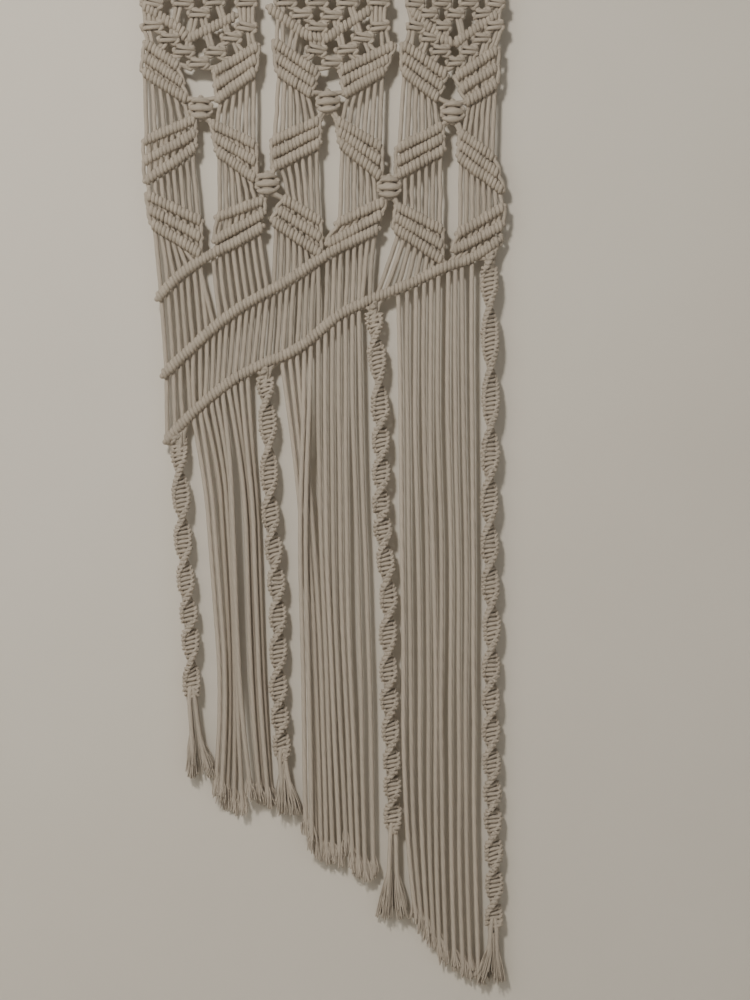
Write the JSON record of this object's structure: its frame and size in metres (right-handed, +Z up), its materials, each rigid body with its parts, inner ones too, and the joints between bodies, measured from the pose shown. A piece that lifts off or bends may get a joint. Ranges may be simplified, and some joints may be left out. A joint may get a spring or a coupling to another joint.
{
  "type": "macrame wall hanging",
  "caption": "Knotted off-white cotton cord hanging on a plain wooden dowel, with diagonal knotted leaf bands, rounded knots, twisted spiral cords and a long slanting fringe.",
  "frame": {"origin": "middle of the dowel's length, on the dowel's axis", "axes": "+X along the dowel to the viewer's right, +Y towards the wall that the hanging lies against, +Z up"},
  "size_m": [0.4, 0.0286, 0.9118],
  "materials": {
    "cotton_cord": "matte twisted cotton",
    "dowel_wood": "bare sanded"
  },
  "bodies": {
    "dowel": {"dowel": "dowel_wood"},
    "knotwork": {"larks_heads": "cotton_cord", "net_left": "cotton_cord", "chevron_left": "cotton_cord", "row_a_left": "cotton_cord", "row_b_left": "cotton_cord", "row_c_left": "cotton_cord", "working_cords_left": "cotton_cord", "net_middle": "cotton_cord", "chevron_middle": "cotton_cord", "row_a_middle": "cotton_cord", "row_b_middle": "cotton_cord", "row_c_middle": "cotton_cord", "working_cords_middle": "cotton_cord", "net_right": "cotton_cord", "chevron_right": "cotton_cord", "row_a_right": "cotton_cord", "row_b_right": "cotton_cord", "row_c_right": "cotton_cord", "working_cords_right": "cotton_cord", "berry_knots": "cotton_cord", "diagonal_bar_1": "cotton_cord", "diagonal_bar_2": "cotton_cord", "diagonal_bar_3": "cotton_cord"},
    "sennit_1": {"sennit_1": "cotton_cord"},
    "sennit_2": {"sennit_2": "cotton_cord"},
    "sennit_3": {"sennit_3": "cotton_cord"},
    "sennit_4": {"sennit_4": "cotton_cord"},
    "fringe_left_01": {"fringe_left_01": "cotton_cord"},
    "fringe_left_02": {"fringe_left_02": "cotton_cord"},
    "fringe_left_03": {"fringe_left_03": "cotton_cord"},
    "fringe_left_04": {"fringe_left_04": "cotton_cord"},
    "fringe_left_05": {"fringe_left_05": "cotton_cord"},
    "fringe_left_06": {"fringe_left_06": "cotton_cord"},
    "fringe_left_07": {"fringe_left_07": "cotton_cord"},
    "fringe_left_08": {"fringe_left_08": "cotton_cord"},
    "fringe_left_09": {"fringe_left_09": "cotton_cord"},
    "fringe_left_10": {"fringe_left_10": "cotton_cord"},
    "fringe_middle_01": {"fringe_middle_01": "cotton_cord"},
    "fringe_middle_02": {"fringe_middle_02": "cotton_cord"},
    "fringe_middle_03": {"fringe_middle_03": "cotton_cord"},
    "fringe_middle_04": {"fringe_middle_04": "cotton_cord"},
    "fringe_middle_05": {"fringe_middle_05": "cotton_cord"},
    "fringe_middle_06": {"fringe_middle_06": "cotton_cord"},
    "fringe_middle_07": {"fringe_middle_07": "cotton_cord"},
    "fringe_middle_08": {"fringe_middle_08": "cotton_cord"},
    "fringe_middle_09": {"fringe_middle_09": "cotton_cord"},
    "fringe_middle_10": {"fringe_middle_10": "cotton_cord"},
    "fringe_middle_11": {"fringe_middle_11": "cotton_cord"},
    "fringe_middle_12": {"fringe_middle_12": "cotton_cord"},
    "fringe_right_01": {"fringe_right_01": "cotton_cord"},
    "fringe_right_02": {"fringe_right_02": "cotton_cord"},
    "fringe_right_03": {"fringe_right_03": "cotton_cord"},
    "fringe_right_04": {"fringe_right_04": "cotton_cord"},
    "fringe_right_05": {"fringe_right_05": "cotton_cord"},
    "fringe_right_06": {"fringe_right_06": "cotton_cord"},
    "fringe_right_07": {"fringe_right_07": "cotton_cord"},
    "fringe_right_08": {"fringe_right_08": "cotton_cord"},
    "fringe_right_09": {"fringe_right_09": "cotton_cord"},
    "fringe_right_10": {"fringe_right_10": "cotton_cord"}
  },
  "joints": [
    {"name": "hang", "type": "hinge", "parent": "dowel", "child": "knotwork", "pos_m": [0, 0, 0], "axis": [-1, 0, 0], "range_deg": [0, 25]},
    {"name": "sennit_1_swing", "type": "hinge", "parent": "knotwork", "child": "sennit_1", "pos_m": [-0.1215, -0.002, -0.4405], "axis": [-1, 0, 0], "range_deg": [0, 40]},
    {"name": "sennit_2_swing", "type": "hinge", "parent": "knotwork", "child": "sennit_2", "pos_m": [-0.0485, -0.002, -0.382], "axis": [-1, 0, 0], "range_deg": [0, 40]},
    {"name": "sennit_3_swing", "type": "hinge", "parent": "knotwork", "child": "sennit_3", "pos_m": [0.044, -0.002, -0.327], "axis": [-1, 0, 0], "range_deg": [0, 40]},
    {"name": "sennit_4_swing", "type": "hinge", "parent": "knotwork", "child": "sennit_4", "pos_m": [0.1425, -0.002, -0.284], "axis": [-1, 0, 0], "range_deg": [0, 40]},
    {"name": "fringe_left_01_swing", "type": "hinge", "parent": "knotwork", "child": "fringe_left_01", "pos_m": [-0.1085, -0.002, -0.42291], "axis": [-1, 0, 0], "range_deg": [0, 35]},
    {"name": "fringe_left_02_swing", "type": "hinge", "parent": "knotwork", "child": "fringe_left_02", "pos_m": [-0.103, -0.002, -0.41827], "axis": [-1, 0, 0], "range_deg": [0, 35]},
    {"name": "fringe_left_03_swing", "type": "hinge", "parent": "knotwork", "child": "fringe_left_03", "pos_m": [-0.099, -0.002, -0.41489], "axis": [-1, 0, 0], "range_deg": [0, 35]},
    {"name": "fringe_left_04_swing", "type": "hinge", "parent": "knotwork", "child": "fringe_left_04", "pos_m": [-0.0935, -0.002, -0.41024], "axis": [-1, 0, 0], "range_deg": [0, 35]},
    {"name": "fringe_left_05_swing", "type": "hinge", "parent": "knotwork", "child": "fringe_left_05", "pos_m": [-0.089, -0.002, -0.40644], "axis": [-1, 0, 0], "range_deg": [0, 35]},
    {"name": "fringe_left_06_swing", "type": "hinge", "parent": "knotwork", "child": "fringe_left_06", "pos_m": [-0.084, -0.002, -0.40222], "axis": [-1, 0, 0], "range_deg": [0, 35]},
    {"name": "fringe_left_07_swing", "type": "hinge", "parent": "knotwork", "child": "fringe_left_07", "pos_m": [-0.079, -0.002, -0.3974], "axis": [-1, 0, 0], "range_deg": [0, 35]},
    {"name": "fringe_left_08_swing", "type": "hinge", "parent": "knotwork", "child": "fringe_left_08", "pos_m": [-0.074, -0.002, -0.39454], "axis": [-1, 0, 0], "range_deg": [0, 35]},
    {"name": "fringe_left_09_swing", "type": "hinge", "parent": "knotwork", "child": "fringe_left_09", "pos_m": [-0.0685, -0.002, -0.3914], "axis": [-1, 0, 0], "range_deg": [0, 35]},
    {"name": "fringe_left_10_swing", "type": "hinge", "parent": "knotwork", "child": "fringe_left_10", "pos_m": [-0.063, -0.002, -0.38826], "axis": [-1, 0, 0], "range_deg": [0, 35]},
    {"name": "fringe_middle_01_swing", "type": "hinge", "parent": "knotwork", "child": "fringe_middle_01", "pos_m": [-0.0335, -0.002, -0.37504], "axis": [-1, 0, 0], "range_deg": [0, 35]},
    {"name": "fringe_middle_02_swing", "type": "hinge", "parent": "knotwork", "child": "fringe_middle_02", "pos_m": [-0.027, -0.002, -0.3725], "axis": [-1, 0, 0], "range_deg": [0, 35]},
    {"name": "fringe_middle_03_swing", "type": "hinge", "parent": "knotwork", "child": "fringe_middle_03", "pos_m": [-0.021, -0.002, -0.37017], "axis": [-1, 0, 0], "range_deg": [0, 35]},
    {"name": "fringe_middle_04_swing", "type": "hinge", "parent": "knotwork", "child": "fringe_middle_04", "pos_m": [-0.015, -0.002, -0.36835], "axis": [-1, 0, 0], "range_deg": [0, 35]},
    {"name": "fringe_middle_05_swing", "type": "hinge", "parent": "knotwork", "child": "fringe_middle_05", "pos_m": [-0.0095, -0.002, -0.36312], "axis": [-1, 0, 0], "range_deg": [0, 35]},
    {"name": "fringe_middle_06_swing", "type": "hinge", "parent": "knotwork", "child": "fringe_middle_06", "pos_m": [-0.003, -0.002, -0.35694], "axis": [-1, 0, 0], "range_deg": [0, 35]},
    {"name": "fringe_middle_07_swing", "type": "hinge", "parent": "knotwork", "child": "fringe_middle_07", "pos_m": [0.003, -0.002, -0.35123], "axis": [-1, 0, 0], "range_deg": [0, 35]},
    {"name": "fringe_middle_08_swing", "type": "hinge", "parent": "knotwork", "child": "fringe_middle_08", "pos_m": [0.009, -0.002, -0.34553], "axis": [-1, 0, 0], "range_deg": [0, 35]},
    {"name": "fringe_middle_09_swing", "type": "hinge", "parent": "knotwork", "child": "fringe_middle_09", "pos_m": [0.0145, -0.002, -0.33927], "axis": [-1, 0, 0], "range_deg": [0, 35]},
    {"name": "fringe_middle_10_swing", "type": "hinge", "parent": "knotwork", "child": "fringe_middle_10", "pos_m": [0.02, -0.002, -0.33671], "axis": [-1, 0, 0], "range_deg": [0, 35]},
    {"name": "fringe_middle_11_swing", "type": "hinge", "parent": "knotwork", "child": "fringe_middle_11", "pos_m": [0.026, -0.002, -0.33392], "axis": [-1, 0, 0], "range_deg": [0, 35]},
    {"name": "fringe_middle_12_swing", "type": "hinge", "parent": "knotwork", "child": "fringe_middle_12", "pos_m": [0.0315, -0.002, -0.33136], "axis": [-1, 0, 0], "range_deg": [0, 35]},
    {"name": "fringe_right_01_swing", "type": "hinge", "parent": "knotwork", "child": "fringe_right_01", "pos_m": [0.065, -0.002, -0.3175], "axis": [-1, 0, 0], "range_deg": [0, 35]},
    {"name": "fringe_right_02_swing", "type": "hinge", "parent": "knotwork", "child": "fringe_right_02", "pos_m": [0.0725, -0.002, -0.31463], "axis": [-1, 0, 0], "range_deg": [0, 35]},
    {"name": "fringe_right_03_swing", "type": "hinge", "parent": "knotwork", "child": "fringe_right_03", "pos_m": [0.08, -0.002, -0.31152], "axis": [-1, 0, 0], "range_deg": [0, 35]},
    {"name": "fringe_right_04_swing", "type": "hinge", "parent": "knotwork", "child": "fringe_right_04", "pos_m": [0.087, -0.002, -0.30779], "axis": [-1, 0, 0], "range_deg": [0, 35]},
    {"name": "fringe_right_05_swing", "type": "hinge", "parent": "knotwork", "child": "fringe_right_05", "pos_m": [0.093, -0.002, -0.3046], "axis": [-1, 0, 0], "range_deg": [0, 35]},
    {"name": "fringe_right_06_swing", "type": "hinge", "parent": "knotwork", "child": "fringe_right_06", "pos_m": [0.099, -0.002, -0.30085], "axis": [-1, 0, 0], "range_deg": [0, 35]},
    {"name": "fringe_right_07_swing", "type": "hinge", "parent": "knotwork", "child": "fringe_right_07", "pos_m": [0.1075, -0.002, -0.29811], "axis": [-1, 0, 0], "range_deg": [0, 35]},
    {"name": "fringe_right_08_swing", "type": "hinge", "parent": "knotwork", "child": "fringe_right_08", "pos_m": [0.1135, -0.002, -0.29617], "axis": [-1, 0, 0], "range_deg": [0, 35]},
    {"name": "fringe_right_09_swing", "type": "hinge", "parent": "knotwork", "child": "fringe_right_09", "pos_m": [0.119, -0.002, -0.29446], "axis": [-1, 0, 0], "range_deg": [0, 35]},
    {"name": "fringe_right_10_swing", "type": "hinge", "parent": "knotwork", "child": "fringe_right_10", "pos_m": [0.1275, -0.002, -0.29191], "axis": [-1, 0, 0], "range_deg": [0, 35]}
  ],
  "couplings": [
    {"joint": "fringe_left_01_swing", "follows": "fringe_left_09_swing", "ratio": 1},
    {"joint": "fringe_left_02_swing", "follows": "fringe_left_09_swing", "ratio": 1},
    {"joint": "fringe_left_03_swing", "follows": "fringe_left_09_swing", "ratio": 1},
    {"joint": "fringe_left_04_swing", "follows": "fringe_left_09_swing", "ratio": 1},
    {"joint": "fringe_left_05_swing", "follows": "fringe_left_09_swing", "ratio": 1},
    {"joint": "fringe_left_06_swing", "follows": "fringe_left_09_swing", "ratio": 1},
    {"joint": "fringe_left_07_swing", "follows": "fringe_left_09_swing", "ratio": 1},
    {"joint": "fringe_left_08_swing", "follows": "fringe_left_09_swing", "ratio": 1},
    {"joint": "fringe_left_10_swing", "follows": "fringe_left_09_swing", "ratio": 1},
    {"joint": "fringe_middle_01_swing", "follows": "fringe_middle_11_swing", "ratio": 1},
    {"joint": "fringe_middle_02_swing", "follows": "fringe_middle_11_swing", "ratio": 1},
    {"joint": "fringe_middle_03_swing", "follows": "fringe_middle_11_swing", "ratio": 1},
    {"joint": "fringe_middle_04_swing", "follows": "fringe_middle_11_swing", "ratio": 1},
    {"joint": "fringe_middle_05_swing", "follows": "fringe_middle_11_swing", "ratio": 1},
    {"joint": "fringe_middle_06_swing", "follows": "fringe_middle_11_swing", "ratio": 1},
    {"joint": "fringe_middle_07_swing", "follows": "fringe_middle_11_swing", "ratio": 1},
    {"joint": "fringe_middle_08_swing", "follows": "fringe_middle_11_swing", "ratio": 1},
    {"joint": "fringe_middle_09_swing", "follows": "fringe_middle_11_swing", "ratio": 1},
    {"joint": "fringe_middle_10_swing", "follows": "fringe_middle_11_swing", "ratio": 1},
    {"joint": "fringe_middle_12_swing", "follows": "fringe_middle_11_swing", "ratio": 1},
    {"joint": "fringe_right_01_swing", "follows": "fringe_right_10_swing", "ratio": 1},
    {"joint": "fringe_right_02_swing", "follows": "fringe_right_10_swing", "ratio": 1},
    {"joint": "fringe_right_03_swing", "follows": "fringe_right_10_swing", "ratio": 1},
    {"joint": "fringe_right_04_swing", "follows": "fringe_right_10_swing", "ratio": 1},
    {"joint": "fringe_right_05_swing", "follows": "fringe_right_10_swing", "ratio": 1},
    {"joint": "fringe_right_06_swing", "follows": "fringe_right_10_swing", "ratio": 1},
    {"joint": "fringe_right_07_swing", "follows": "fringe_right_10_swing", "ratio": 1},
    {"joint": "fringe_right_08_swing", "follows": "fringe_right_10_swing", "ratio": 1},
    {"joint": "fringe_right_09_swing", "follows": "fringe_right_10_swing", "ratio": 1}
  ]
}
